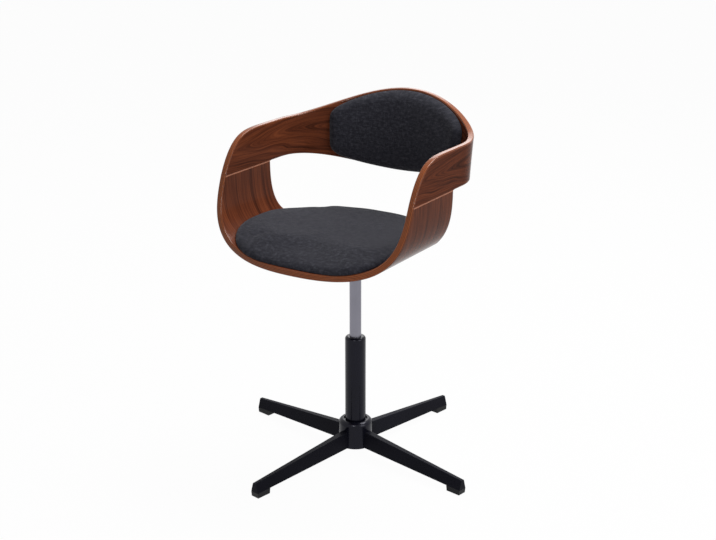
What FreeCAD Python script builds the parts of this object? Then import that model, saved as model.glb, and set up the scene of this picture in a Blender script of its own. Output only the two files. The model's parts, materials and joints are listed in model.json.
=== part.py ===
import FreeCAD, Part
import math
import os

# A swivel dining chair: a bent plywood seat and back band with two upholstered pads, on a gas
# spring column and a four-legged stand. Millimetres, +Z up. The chair faces -Y and the origin is
# on the floor under the column. The column is drawn at its full height.

Vector = FreeCAD.Vector
UP = Vector(0, 0, 1)
ALONG_X = Vector(1, 0, 0)
ALONG_Y = Vector(0, 1, 0)

# Clearances
running_clearance = 0.05
loose_clearance = 0.3
seat_clearance = 0.1

# Stand: hub, legs and glides
leg_names = ["right", "rear", "left", "front"]
leg_turn = -10.8
leg_reach = 338.0
leg_root_top = 61.5
leg_tip_top = 35.5
leg_root_bottom = 22.0
leg_tip_bottom = 12.0
leg_root_width = 25.0
leg_tip_width = 22.0
leg_root_ridge = 18.0
leg_tip_ridge = 9.0
leg_edge_round = 2.0
leg_wall = 2.5
leg_least_half = 0.4
glide_length = 39.5
glide_lean = 1.5
glide_tongue_length = 24.0
glide_tongue_width = 8.0
glide_tongue_height = 10.0
hub_radius = 41.0
hub_bottom = 20.0
hub_top = 86.5
hub_round = 11.0
hub_recess_radius = 28.5
hub_recess_depth = 4.0
hub_recess_round = 1.0

# Column: stand tube, guide bush and the gas spring
tube_radius = 25.0
tube_wall = 2.0
tube_bottom = 24.0
tube_floor = 4.0
tube_taper = 1.0
column_top = 301.0
collar_height = 22.0
collar_round = 7.0
bush_length = 102.0
rod_radius = 5.0
rod_neck_radius = 4.0
rod_foot = 7.0
rod_hole_radius = 4.6
clip_radius = 9.0
clip_thickness = 2.0
clip_groove_radius = 3.2
race_inner_radius = 7.0
race_radius = 19.0
race_thickness = 2.0
ball_radius = 2.0
ball_circle = 13.0
ball_count = 10
cage_width = 7.0
cage_thickness = 2.0
bumper_radius = 12.0
bumper_height = 12.0
lift_stroke = 120.0
stroke_reserve = 8.0
pressure_radius = 14.0
pressure_bore = 11.7
pressure_taper_length = 54.0
pressure_taper = 0.8
pressure_rise = 6.0
rod_guide_height = 18.0
rod_seal_height = 4.0
piston_gap = 12.0
piston_height = 12.0
piston_ring_height = 3.0
piston_ring_depth = 1.6
rod_rivet_height = 2.0
valve_body_height = 46.0
valve_pin_radius = 3.0
valve_pin_length = 36.0
valve_pin_rise = 4.0
valve_pin_round = 1.0

# Plate under the seat, with its socket, bolts and lever
socket_radius = 20.0
plate_sheet = 3.0
plate_depth = 25.0
plate_half_length = 55.0
plate_web_half_width = 55.0
plate_flange = 35.0
bolt_along = 38.0
bolt_radius = 3.0
bolt_head_radius = 5.0
bolt_head_height = 4.0
bolt_end_gap = 1.5
tee_nut_barrel_radius = 4.0
tee_nut_barrel_length = 9.5
tee_nut_flange_radius = 9.0
tee_nut_flange_thickness = 1.5
lever_radius = 4.0
lever_pivot_reach = 40.0
lever_inner_end = 5.0
lever_outer_reach = 150.0
lever_boss_radius = 6.5
lever_boss_width = 8.0
lever_pin_radius = 3.0
lever_pin_head_radius = 4.5
lever_pin_head = 1.5
ear_gap = 0.5
ear_thickness = 3.0
ear_length = 16.0
grip_start = 118.0
grip_end = 200.0
grip_width = 24.0
grip_thickness = 9.0
grip_round = 3.5

# Bent plywood: the seat with its upturned sides, and the back band above it
ply_thickness = 14.5
shell_half_width = 256.0
shell_bottom = 528.0
shell_roundness = 3.34
seam_height = 699.0
side_rise = 20.0
seat_front = 265.0
front_sweep = 0.475
front_bow = 254.0
seat_rear = 155.0
rear_bow = 10.0
side_rear = 2.0
rear_turn_at = 186.0
rear_turn_width = 30.0
arm_rise = 93.0
arm_roll = 4.23
tip_land = 2.0
crest_rise = 65.0
crest_reach = 300.0
band_drop = 32.0
drop_reach = 316.0
back_start = 48.0
back_depth = 172.0
back_lean = 0.265

# Upholstery: a carrier board and a crowned pad on the seat and on the back
glue_gap = 0.1
pad_gap = 0.8
board_thickness = 4.0
board_margin = 14.0
board_end_share = 0.97
seat_pad_half_width = 213.0
seat_pad_front_margin = 7.0
seat_pad_rear_margin = 6.0
seat_pad_middle = -75.0
seat_pad_front_power = 3.6
seat_pad_rear_power = 2.3
seat_pad_thickness = 41.0
seat_pad_dish = 9.0
seat_pad_flat_share = 0.45
seat_pad_front_roll = 130.0
seat_pad_rear_roll = 30.0
seat_pad_side_roll = 50.0
seat_pad_lip = 4.0
seat_pad_edge = 8.0
back_pad_half_length = 195.0
back_pad_top_corner = 28.0
back_pad_low_corner = 34.0
back_pad_low_margin = 0.5
back_pad_top_margin = 4.0
back_pad_thickness = 27.0
back_pad_roll = 20.0
back_pad_edge = 7.0
back_pad_shoulder_share = 0.72
pad_stations = (0.012, 0.04, 0.09, 0.18, 0.33, 0.5, 0.67, 0.82, 0.91, 0.96, 0.988)
quarter_bulge = 1 - math.sqrt(0.5)

# Sampling of the curves that are given by a formula
profile_steps = 44
plan_steps = 48
fine_steps = 1500
sheet_patches = 8
same_place = 0.01

# Heights that follow from the sizes above
lower_race_bottom = tube_bottom + tube_floor
ball_height = lower_race_bottom + race_thickness + running_clearance + ball_radius
upper_race_bottom = ball_height + ball_radius + running_clearance
rod_shoulder = upper_race_bottom + race_thickness
bumper_top = rod_shoulder + bumper_height
pressure_bottom = bumper_top + stroke_reserve + lift_stroke
rod_seal_bottom = pressure_bottom + rod_guide_height
piston_bottom = rod_seal_bottom + rod_seal_height + piston_gap
plate_top = shell_bottom
web_bottom = plate_top - plate_depth
web_top = web_bottom + plate_sheet
pressure_top = web_top + pressure_rise
valve_pin_top = pressure_top + valve_pin_rise
lever_height = valve_pin_top + loose_clearance + lever_radius
seat_floor = shell_bottom + ply_thickness
shell_side_top = seam_height + side_rise
arm_top = seam_height + arm_rise
board_outer = ply_thickness + glue_gap
board_inner = board_outer + board_thickness
pad_inset = ply_thickness + pad_gap
recess_inset = board_inner + pad_gap


def cylinder(radius, bottom, top):
    """A round bar on the column's axis."""
    return Part.makeCylinder(radius, top - bottom, Vector(0, 0, bottom))


def ring(outer, inner, bottom, top):
    """A flat or tall ring on the column's axis."""
    return cylinder(outer, bottom, top).cut(cylinder(inner, bottom - 1, top + 1))


def turned(points):
    """A solid turned about the column's axis from an outline of (radius, height) points."""
    corners = [Vector(radius, 0, height) for radius, height in points]
    face = Part.Face(Part.makePolygon(corners + corners[:1]))
    return face.revolve(Vector(0, 0, 0), UP, 360)


def about_column(shape, degrees):
    """A copy turned about the column's axis."""
    copy = shape.copy()
    copy.rotate(Vector(0, 0, 0), UP, degrees)
    return copy


def round_rim(shape, fillet, height, rim_radius):
    """Round the circular edge of one radius at one height."""
    edges = [edge for edge in shape.Edges if isinstance(edge.Curve, Part.Circle)
             and math.dist((edge.Curve.Center.z, edge.Curve.Radius), (height, rim_radius)) < same_place]
    return shape.makeFillet(fillet, edges)


def leg_section(reach, top, bottom, width, ridge, inset):
    """The leg's section at one reach: a trapezium, wide below and narrow on top."""
    half_low = width / 2 - inset
    half_high = max(ridge / 2 - inset, leg_least_half)
    low = bottom - inset
    corners = [(half_low, low), (half_high, top - inset), (-half_high, top - inset), (-half_low, low)]
    points = [Vector(reach, across, height) for across, height in corners]
    return Part.makePolygon(points + points[:1])


def leg_loft(start, end, inset):
    """The leg's body between two reaches, its sizes running straight from root to tip."""
    sections = []
    for reach in (start, end):
        share = (reach - hub_radius) / (leg_reach - hub_radius)
        top = leg_root_top + (leg_tip_top - leg_root_top) * share
        bottom = leg_root_bottom + (leg_tip_bottom - leg_root_bottom) * share
        width = leg_root_width + (leg_tip_width - leg_root_width) * share
        ridge = leg_root_ridge + (leg_tip_ridge - leg_root_ridge) * share
        sections.append(leg_section(reach, top, bottom, width, ridge, inset))
    return Part.makeLoft(sections, True, True)


def base_leg():
    """A pressed steel channel, open below, closed at its end and cut to fit round the hub."""
    body = leg_loft(hub_radius / 2, leg_reach, 0)
    ridges = [edge for edge in body.Edges
              if edge.BoundBox.XLength > leg_reach / 2 and edge.BoundBox.ZMax > leg_root_top]
    body = body.makeFillet(leg_edge_round, ridges)
    hollow = leg_loft(hub_radius / 2, leg_reach - leg_wall, leg_wall)
    return body.cut(hollow).cut(cylinder(hub_radius, hub_bottom, hub_top))


def glide():
    """A plastic foot under the leg's tip, with a tongue up into the leg's channel."""
    slope = (leg_root_bottom - leg_tip_bottom) / (leg_reach - hub_radius)
    start = leg_reach - glide_length
    corners = [(start + glide_lean, 0), (leg_reach - glide_lean, 0), (leg_reach, leg_tip_bottom),
               (start, leg_tip_bottom + slope * glide_length)]
    points = [Vector(reach, -leg_tip_width / 2, height) for reach, height in corners]
    block = Part.Face(Part.makePolygon(points + points[:1])).extrude(ALONG_Y * leg_tip_width)
    tongue_start = start + (glide_length - glide_tongue_length) / 2
    tongue_height = leg_tip_bottom + glide_tongue_height - glide_lean
    tongue = Part.makeBox(glide_tongue_length, glide_tongue_width, tongue_height,
                          Vector(tongue_start, -glide_tongue_width / 2, glide_lean))
    return block.fuse(tongue).removeSplitter()


def tube_outer(height):
    """The stand tube's radius at a height: straight above the hub and tapered inside it."""
    taper_top = hub_top - hub_recess_depth
    share = max(0.0, (taper_top - height) / (taper_top - tube_bottom))
    return tube_radius - tube_taper * share


def hub():
    """The hub that the legs are welded to, with a tapered bore for the stand tube."""
    recess = hub_top - hub_recess_depth
    outline = [(tube_outer(hub_bottom), hub_bottom), (hub_radius, hub_bottom), (hub_radius, hub_top),
               (hub_recess_radius, hub_top), (hub_recess_radius, recess), (tube_radius, recess)]
    body = round_rim(turned(outline), hub_round, hub_top, hub_radius)
    return round_rim(body, hub_recess_round, hub_top, hub_recess_radius)


def stand_tube():
    """The outer tube of the column, with a floor that carries the thrust bearing."""
    taper_top = hub_top - hub_recess_depth
    bore = tube_radius - tube_taper - tube_wall
    top = column_top - collar_height
    outline = [(rod_hole_radius, tube_bottom), (tube_outer(tube_bottom), tube_bottom),
               (tube_radius, taper_top), (tube_radius, top), (bore, top), (bore, lower_race_bottom),
               (rod_hole_radius, lower_race_bottom)]
    return turned(outline)


def guide_bush():
    """The plastic bush that guides the pressure tube, with a collar that caps the stand tube."""
    collar_bottom = column_top - collar_height
    sleeve = tube_radius - tube_taper - tube_wall - seat_clearance
    bore = pressure_radius + running_clearance
    outline = [(bore, column_top - bush_length), (sleeve, column_top - bush_length), (sleeve, collar_bottom),
               (tube_radius, collar_bottom), (tube_radius, column_top), (bore, column_top)]
    body = turned(outline)
    return round_rim(body, collar_round, column_top, tube_radius)


def lower_race():
    """The bearing race that lies on the stand tube's floor."""
    return ring(race_radius, race_inner_radius, lower_race_bottom, lower_race_bottom + race_thickness)


def upper_race():
    """The bearing race that the piston rod's shoulder stands on."""
    return ring(race_radius, rod_neck_radius + seat_clearance, upper_race_bottom, rod_shoulder)


def ball_place(index):
    """The centre of one bearing ball."""
    angle = 2 * math.pi * index / ball_count
    return Vector(ball_circle * math.cos(angle), ball_circle * math.sin(angle), ball_height)


def bearing_balls():
    """The balls of the thrust bearing, as separate solids."""
    return Part.Compound([Part.makeSphere(ball_radius, ball_place(index)) for index in range(ball_count)])


def bearing_cage():
    """The ring that keeps the balls apart."""
    outer = ball_circle + cage_width / 2
    bottom = ball_height - cage_thickness / 2
    body = ring(outer, outer - cage_width, bottom, bottom + cage_thickness)
    for index in range(ball_count):
        body = body.cut(Part.makeSphere(ball_radius + seat_clearance, ball_place(index)))
    return body


def piston_rod():
    """The rod that stands on the bearing, necked below, grooved for its clip and riveted on top."""
    foot = tube_bottom - rod_foot
    clip_top = tube_bottom - loose_clearance
    top = piston_bottom + piston_height
    outline = [(0, foot), (rod_neck_radius, foot), (rod_neck_radius, clip_top - clip_thickness),
               (clip_groove_radius, clip_top - clip_thickness), (clip_groove_radius, clip_top),
               (rod_neck_radius, clip_top), (rod_neck_radius, rod_shoulder), (rod_radius, rod_shoulder),
               (rod_radius, piston_bottom), (rod_neck_radius, piston_bottom), (rod_neck_radius, top),
               (rod_radius, top), (rod_radius, top + rod_rivet_height), (0, top + rod_rivet_height)]
    return turned(outline)


def rod_clip():
    """The spring clip in the rod's groove, under the stand tube's floor."""
    top = tube_bottom - loose_clearance
    return ring(clip_radius, clip_groove_radius, top - clip_thickness, top)


def bumper():
    """The rubber stop that the pressure tube comes down on."""
    return ring(bumper_radius, rod_radius + seat_clearance, rod_shoulder, bumper_top)


def piston():
    """The piston on the rod, with a groove for its ring."""
    radius = pressure_bore - running_clearance
    body = ring(radius, rod_neck_radius, piston_bottom, piston_bottom + piston_height)
    return body.cut(piston_ring())


def piston_ring():
    """The seal in the piston's groove."""
    radius = pressure_bore - running_clearance
    bottom = piston_bottom + (piston_height - piston_ring_height) / 2
    return ring(radius, radius - piston_ring_depth, bottom, bottom + piston_ring_height)


def rod_guide():
    """The plug in the pressure tube's lower end, which runs on the rod."""
    return ring(pressure_bore, rod_radius + running_clearance, pressure_bottom, rod_seal_bottom)


def rod_seal():
    """The rubber seal above the rod guide."""
    bore = rod_radius + running_clearance
    return ring(pressure_bore, bore, rod_seal_bottom, rod_seal_bottom + rod_seal_height)


def pressure_tube():
    """The bright tube of the gas spring, straight below and tapered at its top."""
    taper_bottom = pressure_top - pressure_taper_length
    outline = [(pressure_bore, pressure_bottom), (pressure_radius, pressure_bottom),
               (pressure_radius, taper_bottom), (pressure_radius - pressure_taper, pressure_top),
               (pressure_bore, pressure_top)]
    return turned(outline)


def valve_body():
    """The valve in the pressure tube's top, bored for its pin."""
    bore = valve_pin_radius + running_clearance
    return ring(pressure_bore, bore, pressure_top - valve_body_height, pressure_top)


def valve_pin():
    """The button that the lever presses to free the gas spring."""
    body = cylinder(valve_pin_radius, valve_pin_top - valve_pin_length, valve_pin_top)
    return round_rim(body, valve_pin_round, valve_pin_top, valve_pin_radius)


def socket():
    """The conical socket that is welded into the plate and sits on the pressure tube."""
    taper_bottom = pressure_top - pressure_taper_length
    slope = pressure_taper / pressure_taper_length
    top_bore = pressure_radius - slope * (web_top - taper_bottom) + running_clearance
    outline = [(pressure_radius + running_clearance, taper_bottom), (socket_radius, taper_bottom),
               (socket_radius, web_top), (top_bore, web_top)]
    return turned(outline)


def bolt_places():
    """The four bolt axes, on the plate's two flanges."""
    across = plate_web_half_width + plate_flange / 2
    return [(x, y) for x in (-bolt_along, bolt_along) for y in (-across, across)]


def seat_plate():
    """A steel hat section across the underside of the seat, with two ears for the lever's pin."""
    inner = plate_web_half_width - plate_sheet
    outer = plate_web_half_width + plate_flange
    under = plate_top - plate_sheet
    half_outline = [(plate_web_half_width, web_bottom), (plate_web_half_width, under),
                    (outer, under), (outer, plate_top), (inner, plate_top), (inner, web_top)]
    outline = half_outline + [(-across, height) for across, height in reversed(half_outline)]
    points = [Vector(-plate_half_length, across, height) for across, height in outline]
    body = Part.Face(Part.makePolygon(points + points[:1])).extrude(ALONG_X * (2 * plate_half_length))
    body = body.cut(cylinder(socket_radius, web_bottom - 1, web_top + 1))
    for x, y in bolt_places():
        body = body.cut(Part.makeCylinder(bolt_radius + seat_clearance, plate_depth, Vector(x, y, web_top)))
    ear_inner = lever_boss_width / 2 + ear_gap
    ear_top = lever_height + lever_boss_radius - seat_clearance
    for across in (ear_inner, -ear_inner - ear_thickness):
        ear = Part.makeBox(ear_length, ear_thickness, ear_top - web_top,
                           Vector(-lever_pivot_reach - ear_length / 2, across, web_top))
        body = body.fuse(ear)
    ear_outer = ear_inner + ear_thickness
    pin_hole = Part.makeCylinder(lever_pin_radius, 2 * ear_outer,
                                 Vector(-lever_pivot_reach, -ear_outer, lever_height), ALONG_Y)
    return body.cut(pin_hole).removeSplitter()


def plate_bolts():
    """Four bolts through the plate's flanges, as separate solids."""
    under = plate_top - plate_sheet
    bolts = []
    for x, y in bolt_places():
        head = Part.makeCylinder(bolt_head_radius, bolt_head_height, Vector(x, y, under - bolt_head_height))
        shank = Part.makeCylinder(bolt_radius, seat_floor - bolt_end_gap - under, Vector(x, y, under))
        bolts.append(head.fuse(shank).removeSplitter())
    return Part.Compound(bolts)


def tee_nut_recess(x, y, clearance):
    """The outer shape of one tee nut: a barrel in the plywood under a flat flange."""
    barrel = Part.makeCylinder(tee_nut_barrel_radius + clearance, tee_nut_barrel_length + clearance,
                               Vector(x, y, seat_floor - tee_nut_barrel_length - clearance))
    flange_bottom = seat_floor - tee_nut_flange_thickness - clearance
    flange = Part.makeCylinder(tee_nut_flange_radius + clearance, tee_nut_flange_thickness + clearance,
                               Vector(x, y, flange_bottom))
    return barrel.fuse(flange).removeSplitter()


def tee_nuts():
    """Four tee nuts let into the top of the seat's plywood, as separate solids."""
    nuts = []
    for x, y in bolt_places():
        bore = Part.makeCylinder(bolt_radius + running_clearance, 2 * ply_thickness,
                                 Vector(x, y, shell_bottom - ply_thickness / 2))
        nuts.append(tee_nut_recess(x, y, 0).cut(bore))
    return Part.Compound(nuts)


def lever():
    """The release lever: a rod through a pivot boss, its inner end over the valve pin."""
    rod = Part.makeCylinder(lever_radius, lever_outer_reach + lever_inner_end,
                            Vector(-lever_outer_reach, 0, lever_height), ALONG_X)
    boss = Part.makeCylinder(lever_boss_radius, lever_boss_width,
                             Vector(-lever_pivot_reach, -lever_boss_width / 2, lever_height), ALONG_Y)
    bore = Part.makeCylinder(lever_pin_radius + running_clearance, 2 * lever_boss_width,
                             Vector(-lever_pivot_reach, -lever_boss_width, lever_height), ALONG_Y)
    return rod.fuse(boss).cut(bore).removeSplitter()


def lever_pin():
    """The pin that the lever turns on, headed at one end, through both ears."""
    half = lever_boss_width / 2 + ear_gap + ear_thickness
    shank = Part.makeCylinder(lever_pin_radius, 2 * half + lever_pin_head,
                              Vector(-lever_pivot_reach, -half, lever_height), ALONG_Y)
    head = Part.makeCylinder(lever_pin_head_radius, lever_pin_head,
                             Vector(-lever_pivot_reach, -half - lever_pin_head, lever_height), ALONG_Y)
    return shank.fuse(head).removeSplitter()


def lever_grip():
    """The plastic grip on the lever's outer end."""
    body = Part.makeBox(grip_end - grip_start, grip_width, grip_thickness,
                        Vector(-grip_end, -grip_width / 2, lever_height - grip_thickness / 2))
    body = body.makeFillet(grip_round, body.Edges)
    bore = Part.makeCylinder(lever_radius, lever_outer_reach,
                             Vector(-lever_outer_reach, 0, lever_height), ALONG_X)
    return body.cut(bore)


def resampled(fine, count):
    """Parameters at equal steps of length along a curve, from a list of (parameter, length)."""
    picked = []
    total = fine[-1][1]
    place = 0
    for step in range(count + 1):
        wanted = total * step / count
        while place < len(fine) - 2 and fine[place + 1][1] < wanted:
            place += 1
        (start, low), (end, high) = fine[place], fine[place + 1]
        picked.append((start + (end - start) * (wanted - low) / (high - low), wanted))
    return picked


def with_lengths(point_at, start, end):
    """A list of (parameter, length so far) along a curve that a function gives."""
    table = [(start, 0.0)]
    before = point_at(start)
    for step in range(1, fine_steps + 1):
        parameter = start + (end - start) * step / fine_steps
        here = point_at(parameter)
        table.append((parameter, table[-1][1] + math.dist(before, here)))
        before = here
    return table


def profile_point(turn):
    """A point (x, z) of the seat's outer section: a superellipse that is upright above the seam."""
    depth = shell_side_top - shell_bottom
    power = 2 / shell_roundness
    return (shell_half_width * math.sin(turn) ** power, shell_side_top - depth * math.cos(turn) ** power)


def profile_normal(turn):
    """The outward direction (x, z) of the seat's section there."""
    power = 2 - 2 / shell_roundness
    across = math.sin(turn) ** power / shell_half_width
    down = math.cos(turn) ** power / (shell_side_top - shell_bottom)
    length = math.hypot(across, down)
    return (across / length, -down / length)


def seam_turn():
    """The section's parameter at the height of the seam."""
    share = (shell_side_top - seam_height) / (shell_side_top - shell_bottom)
    return math.acos(share ** (shell_roundness / 2))


def half_profile(end_turn):
    """Points (x, z, normal x, normal z, length) of half the section, at equal steps of length."""
    fine = with_lengths(profile_point, 0.0, end_turn)
    points = []
    for turn, length in resampled(fine, profile_steps // 2):
        points.append(profile_point(turn) + profile_normal(turn) + (length,))
    return points


def both_sides(half):
    """A half curve with its mirror image before it; the last number is the signed length."""
    mirrored = [(-x, other, -across, along, -length) for x, other, across, along, length in half[1:]]
    return mirrored[::-1] + half


def spline_edges(points, parameters):
    """Edges that follow one smooth curve through points at given parameters, end to end."""
    span = parameters[-1] - parameters[0]
    shares = [(parameter - parameters[0]) / span for parameter in parameters]
    curve = Part.BSplineCurve()
    curve.interpolate(Points=points, Parameters=shares)
    ends = [step / sheet_patches for step in range(sheet_patches + 1)]
    return [curve.toShape(start, end) for start, end in zip(ends, ends[1:])]


def sheet_solid(outer_a, inner_a, outer_b, inner_b, parameters):
    """A bent sheet between two edges a and b, each given by its outer and inner points."""
    edges = [spline_edges(points, parameters) for points in (outer_a, inner_a, outer_b, inner_b)]
    pairs = [(0, 2), (1, 3), (0, 1), (2, 3)]
    faces = []
    for first, second in pairs:
        for edge, opposite in zip(edges[first], edges[second]):
            faces.append(Part.makeRuledSurface(edge, opposite))
    for end in (0, -1):
        corners = [outer_a[end], inner_a[end], inner_b[end], outer_b[end]]
        faces.append(Part.Face(Part.makePolygon(corners + corners[:1])))
    shell = Part.Shell(faces)
    shell.sewShape()
    solid = Part.Solid(shell)
    if solid.Volume < 0:
        solid.reverse()
    return solid


def front_edge(length):
    """The seat's front edge (y) at a length along its section: bowed in the middle, then straight."""
    return -seat_front + front_sweep * (math.hypot(length, front_bow) - front_bow)


def rear_edge(length):
    """The seat's rear edge (y) at a length along its section, turning forward up the sides."""
    step = 0.5 * (1 - math.tanh((abs(length) - rear_turn_at) / rear_turn_width))
    bowed = seat_rear - side_rear - rear_bow * (length / rear_turn_at) ** 2
    return side_rear + bowed * step


def seat_sheet(near, far, half, front, rear):
    """A sheet that follows the seat's section between two insets from its outer face."""
    points = both_sides(half)
    parameters = [point[4] for point in points]
    edges = []
    for edge in (front, rear):
        for inset in (near, far):
            edges.append([Vector(x - inset * across, edge(length), z - inset * along)
                          for x, z, across, along, length in points])
    return sheet_solid(*edges, parameters)


def seat_shell():
    """The seat: plywood bent up at both sides to the seam, drilled for the bolts and tee nuts."""
    half = half_profile(seam_turn())
    x, z, across, along, length = half[-1]
    half[-1] = (x, z, 1.0, 0.0, length)
    body = seat_sheet(0, ply_thickness, half, front_edge, rear_edge)
    for x, y in bolt_places():
        hole = Part.makeCylinder(bolt_radius + seat_clearance, 2 * ply_thickness,
                                 Vector(x, y, shell_bottom - ply_thickness))
        recess = tee_nut_recess(x, y, seat_clearance)
        mouth = Part.makeCylinder(tee_nut_flange_radius + seat_clearance, ply_thickness,
                                  Vector(x, y, seat_floor))
        body = body.cut(hole).cut(recess).cut(mouth)
    return body


def plan_point(turn):
    """A point (x, y) of the band's outer plan round the back, a quarter of an ellipse."""
    return (shell_half_width * math.sin(turn), back_start + back_depth * math.cos(turn))


def plan_normal(turn):
    """The outward direction (x, y) of the band's plan there."""
    across = math.sin(turn) / shell_half_width
    along = math.cos(turn) / back_depth
    length = math.hypot(across, along)
    return (across / length, along / length)


def band_start():
    """Where (y) the band's own front edge starts: a small land behind the arm's tip."""
    share = 1 - tip_land / arm_rise
    return arm_tip * share ** (1 / arm_roll)


plan_table = with_lengths(plan_point, 0.0, math.pi / 2)
plan_round_length = plan_table[-1][1]
arm_tip = front_edge(with_lengths(profile_point, 0.0, seam_turn())[-1][1])


def plan_at(length):
    """The point (x, y, normal x, normal y, length) of the band's plan at a signed length from the middle."""
    side = math.copysign(1, length)
    reach = abs(length)
    if reach > plan_round_length:
        return (side * shell_half_width, back_start - (reach - plan_round_length), side, 0.0, length)
    turn = next(start + (end - start) * (reach - low) / (high - low)
                for (start, low), (end, high) in zip(plan_table, plan_table[1:]) if reach <= high)
    x, y = plan_point(turn)
    across, along = plan_normal(turn)
    return (side * x, y, side * across, along, length)


def plan_points(reach):
    """Points of the band's plan at equal steps of length, out to a reach on both sides."""
    return [plan_at(reach * (2 * step / plan_steps - 1)) for step in range(plan_steps + 1)]


def cosine_step(length, reach):
    """One at the middle of the back, falling smoothly to nothing at a reach."""
    return 0.5 * (1 + math.cos(math.pi * min(abs(length) / reach, 1)))


def band_bottom(length):
    """The band's lower edge (z): level along the arms, lower at the middle of the back."""
    return seam_height - band_drop * cosine_step(length, drop_reach)


def band_top(point):
    """The band's upper edge (z): rolled down at the arm's front, raised at the back."""
    roll = arm_rise * max(point[1] / arm_tip, 0) ** arm_roll
    return arm_top - roll + crest_rise * cosine_step(point[4], crest_reach)


def band_place(point, height, inset):
    """A point of the band at a height, leaning back more the more it faces backwards."""
    x, y, across, along, length = point
    shift = back_lean * along ** 2 * (height - seam_height) - inset
    return Vector(x + across * shift, y + along * shift, height)


def band_sheet(reach, near, far, low, high):
    """A sheet that follows the band between two insets and two edges given by functions."""
    points = plan_points(reach)
    parameters = [point[4] for point in points]
    edges = []
    for edge in (low, high):
        for inset in (near, far):
            edges.append([band_place(point, edge(point), inset) for point in points])
    return sheet_solid(*edges, parameters)


def band_reach():
    """The length of half the band's plan, from the middle of the back to its front edge."""
    return plan_round_length + back_start - band_start()


def back_band():
    """The back: plywood bent round in plan, its arms glued on the seat's sides along the seam."""
    return band_sheet(band_reach(), 0, ply_thickness, lambda point: band_bottom(point[4]), band_top)


def inner_height(x, inset):
    """The height of the sheet at an inset from the seat's outer face, at a place across."""
    low, high = 0.0, math.pi / 2
    for _ in range(50):
        turn = (low + high) / 2
        if profile_point(turn)[0] - inset * profile_normal(turn)[0] < x:
            low = turn
        else:
            high = turn
    return profile_point(low)[1] - inset * profile_normal(low)[1]


def seat_pad_rear():
    """How far back (y) the seat pad reaches."""
    return seat_rear - seat_pad_rear_margin


def seat_pad_half(y):
    """Half the seat pad's width at a place along the seat, squarer in front than behind."""
    if y < seat_pad_middle:
        share = (seat_pad_middle - y) / (seat_pad_middle + seat_front - seat_pad_front_margin)
        power = seat_pad_front_power
    else:
        share = (y - seat_pad_middle) / (seat_pad_rear() - seat_pad_middle)
        power = seat_pad_rear_power
    return seat_pad_half_width * max(1 - share ** power, 0) ** (1 / power)


def pad_roll(distance, roll, edge, thickness):
    """A pad's thickness at a distance from its end: a rounded roll up to its full thickness."""
    share = min(distance / roll, 1)
    return edge + (thickness - edge) * math.sqrt(1 - (1 - share) ** 2)


def seat_pad_section(y):
    """The seat pad's section at y: a flat and two bends below, rolled sides and a dished top."""
    half = seat_pad_half(y)
    front_gap = y + seat_front - seat_pad_front_margin
    thickness = min(pad_roll(front_gap, seat_pad_front_roll, seat_pad_edge, seat_pad_thickness),
                    pad_roll(seat_pad_rear() - y, seat_pad_rear_roll, seat_pad_edge, seat_pad_thickness))
    flat = seat_pad_flat_share * half
    bend_x = [flat + (half - flat) * step / 4 for step in range(5)]
    bend = [(x, inner_height(x, pad_inset)) for x in bend_x]
    rim = bend[-1][1]
    fullness = thickness / seat_pad_thickness
    shoulder = half - seat_pad_side_roll * fullness * half / seat_pad_half_width
    crown = inner_height(0, pad_inset) + thickness
    side_top = crown + seat_pad_dish * (shoulder / seat_pad_half_width) ** 2
    side_height = side_top - quarter_bulge * (side_top - rim) + seat_pad_lip * fullness
    side = (half - quarter_bulge * (half - shoulder), side_height)

    def arc(*points):
        return Part.Arc(*[Vector(x, y, z) for x, z in points]).toShape()

    right = [bend[0:3], bend[2:5], [bend[4], side, (shoulder, side_top)]]
    left = [[(-x, z) for x, z in reversed(points)] for points in reversed(right)]
    top_arc = [(shoulder, side_top), (0, crown), (-shoulder, side_top)]
    floor = Part.makeLine(Vector(-flat, y, bend[0][1]), Vector(flat, y, bend[0][1]))
    return Part.Wire([floor] + [arc(*points) for points in right + [top_arc] + left])


def seat_board(near, far, margin):
    """A sheet in the bend of the plywood, a margin inside the seat cushion's outline."""
    reach = seat_pad_half_width - margin
    end_turn = math.asin((reach / shell_half_width) ** (shell_roundness / 2))
    half = half_profile(end_turn)
    end = half[-1][4]

    def outline(length, edge, power):
        share = abs(length) / end * board_end_share
        return seat_pad_middle + (edge - seat_pad_middle) * (1 - share ** power) ** (1 / power)

    def front(length):
        return outline(length, seat_pad_front_margin + margin - seat_front, seat_pad_front_power)

    def rear(length):
        return outline(length, seat_pad_rear() - margin, seat_pad_rear_power)

    return seat_sheet(near, far, half, front, rear)


def seat_pad():
    """The seat cushion: crowned, rolled at its edges, and drawn down round its board to the plywood."""
    front = seat_pad_front_margin - seat_front
    length = seat_pad_rear() - front
    body = Part.makeLoft([seat_pad_section(front + length * share) for share in pad_stations], True, False)
    return body.cut(seat_board(ply_thickness, recess_inset, board_margin - pad_gap))


def seat_pad_board():
    """The thin carrier board under the seat cushion, bent to the plywood's inner face."""
    return seat_board(board_outer, board_inner, board_margin)


def back_pad_corner_drop(length, corner):
    """How much an edge of the back pad draws in towards a rounded corner."""
    over = max(abs(length) - (back_pad_half_length - corner), 0)
    return corner - math.sqrt(max(corner ** 2 - over ** 2, 0))


def back_pad_low(point):
    """The back pad's lower edge (z)."""
    drop = back_pad_corner_drop(point[4], back_pad_low_corner)
    return band_bottom(point[4]) + back_pad_low_margin + drop


def back_pad_high(point):
    """The back pad's upper edge (z)."""
    drop = back_pad_corner_drop(point[4], back_pad_top_corner)
    return band_top(point) - back_pad_top_margin - drop


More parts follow.
